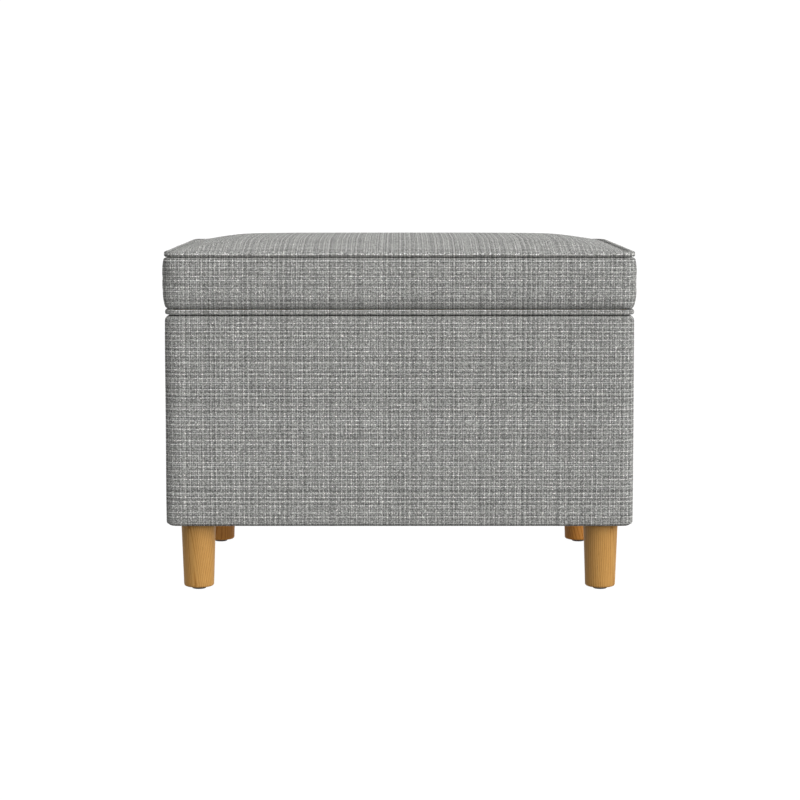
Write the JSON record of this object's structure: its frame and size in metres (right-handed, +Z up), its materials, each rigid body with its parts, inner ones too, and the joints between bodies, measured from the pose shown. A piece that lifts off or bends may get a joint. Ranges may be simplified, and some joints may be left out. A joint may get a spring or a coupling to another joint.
{
  "type": "storage ottoman",
  "caption": "Rectangular storage ottoman: a fabric-covered box on turned oak legs, with a domed, welted lid that hinges at the back on folding stays.",
  "frame": {"origin": "on the floor, under the middle of the box", "axes": "+X to the right along the width, +Y from the front to the hinged back, +Z up"},
  "size_m": [0.6136, 0.463, 0.4579],
  "materials": {
    "tweed": "woven",
    "oak": "satin",
    "fibreboard": "matte",
    "plywood": "matte",
    "foam": "matte",
    "wadding": "matte",
    "lining_cloth": "matte",
    "zinc_steel": "satin",
    "black_steel": "satin",
    "glide_plastic": "matte"
  },
  "bodies": {
    "base": {"front_panel": "fibreboard", "back_panel": "fibreboard", "left_panel": "fibreboard", "right_panel": "fibreboard", "bottom_panel": "plywood", "storage_floor": "lining_cloth", "front_padding": "wadding", "back_padding": "wadding", "left_padding": "wadding", "right_padding": "wadding", "body_cover": "tweed", "storage_lining": "lining_cloth", "dust_cover": "lining_cloth", "leg_front_left": "oak", "leg_front_right": "oak", "leg_back_left": "oak", "leg_back_right": "oak", "glide_front_left": "glide_plastic", "glide_front_right": "glide_plastic", "glide_back_left": "glide_plastic", "glide_back_right": "glide_plastic", "hanger_bolt_front_left": "zinc_steel", "hanger_bolt_front_right": "zinc_steel", "hanger_bolt_back_left": "zinc_steel", "hanger_bolt_back_right": "zinc_steel", "tee_nut_front_left": "zinc_steel", "tee_nut_front_right": "zinc_steel", "tee_nut_back_left": "zinc_steel", "tee_nut_back_right": "zinc_steel", "leg_block_front_left": "plywood", "leg_block_front_right": "plywood", "leg_block_back_left": "plywood", "leg_block_back_right": "plywood", "left_hinge_box_leaf": "zinc_steel", "right_hinge_box_leaf": "zinc_steel", "left_hinge_pin": "zinc_steel", "right_hinge_pin": "zinc_steel", "left_stay_box_bracket": "black_steel", "right_stay_box_bracket": "black_steel", "left_stay_box_rivet": "zinc_steel", "right_stay_box_rivet": "zinc_steel"},
    "lid": {"lid_board": "plywood", "lid_lining": "lining_cloth", "lid_foam": "foam", "seat_cover": "tweed", "lid_band": "tweed", "top_welt": "tweed", "bottom_welt": "tweed", "left_hinge_lid_leaf": "zinc_steel", "right_hinge_lid_leaf": "zinc_steel", "left_stay_lid_bracket": "black_steel", "right_stay_lid_bracket": "black_steel", "left_stay_lid_rivet": "zinc_steel", "right_stay_lid_rivet": "zinc_steel"},
    "left_lower_stay": {"left_stay_lower_arm": "black_steel", "left_stay_elbow_rivet": "zinc_steel"},
    "left_upper_stay": {"left_stay_upper_arm": "black_steel"},
    "right_lower_stay": {"right_stay_lower_arm": "black_steel", "right_stay_elbow_rivet": "zinc_steel"},
    "right_upper_stay": {"right_stay_upper_arm": "black_steel"}
  },
  "joints": [
    {"name": "lid_hinge", "type": "hinge", "parent": "base", "child": "lid", "pos_m": [0, 0.2295, 0.3643], "axis": [-1, 0, 0], "range_deg": [0, 95]},
    {"name": "left_stay_box_pivot", "type": "hinge", "parent": "base", "child": "left_lower_stay", "pos_m": [-0.2742, 0.1695, 0.2743], "axis": [-1, 0, 0], "range_deg": [0, 95]},
    {"name": "left_stay_lid_pivot", "type": "hinge", "parent": "lid", "child": "left_upper_stay", "pos_m": [-0.2719, 0.0695, 0.35], "axis": [-1, 0, 0], "range_deg": [-95, 0]},
    {"name": "right_stay_box_pivot", "type": "hinge", "parent": "base", "child": "right_lower_stay", "pos_m": [0.2742, 0.1695, 0.2743], "axis": [-1, 0, 0], "range_deg": [0, 95]},
    {"name": "right_stay_lid_pivot", "type": "hinge", "parent": "lid", "child": "right_upper_stay", "pos_m": [0.2719, 0.0695, 0.35], "axis": [-1, 0, 0], "range_deg": [-95, 0]}
  ],
  "couplings": [
    {"joint": "left_stay_box_pivot", "follows": "lid_hinge", "ratio": 1},
    {"joint": "left_stay_lid_pivot", "follows": "lid_hinge", "ratio": -1},
    {"joint": "right_stay_box_pivot", "follows": "lid_hinge", "ratio": 1},
    {"joint": "right_stay_lid_pivot", "follows": "lid_hinge", "ratio": -1}
  ]
}
